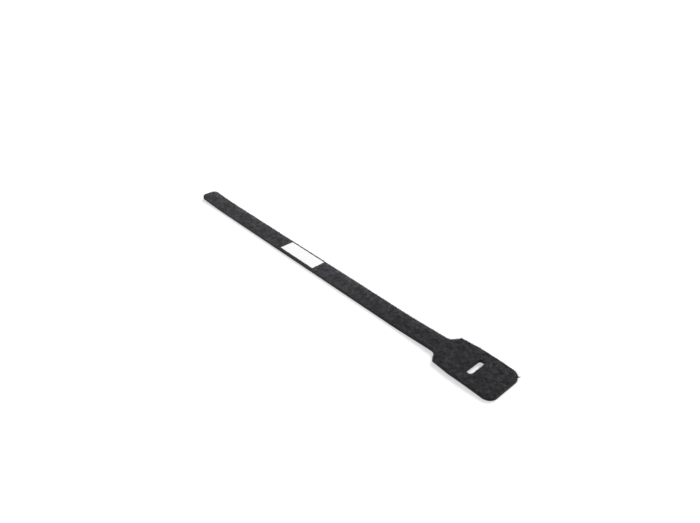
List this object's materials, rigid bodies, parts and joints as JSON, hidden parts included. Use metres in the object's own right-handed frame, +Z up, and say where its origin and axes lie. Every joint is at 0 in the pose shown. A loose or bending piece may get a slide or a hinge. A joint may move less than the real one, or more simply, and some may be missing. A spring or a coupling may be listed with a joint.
{
  "type": "cable tie",
  "caption": "Hook-and-loop cable tie: a flat black strap with a rounded tip, a wide slotted head that its tail passes through, and a white writing label.",
  "frame": {"origin": "bottom centre of the tie's bounding box, on the surface that it lies on", "axes": "+X along the strap from the tip to the head, +Y across the strap, +Z up out of the pile side"},
  "size_m": [0.3, 0.0276, 0.0035],
  "materials": {
    "strap_pile": "matt black napped loop pile",
    "label_film": "smooth white writing film"
  },
  "bodies": {
    "root": {"strap": "strap_pile", "writing_label": "label_film"}
  },
  "joints": []
}
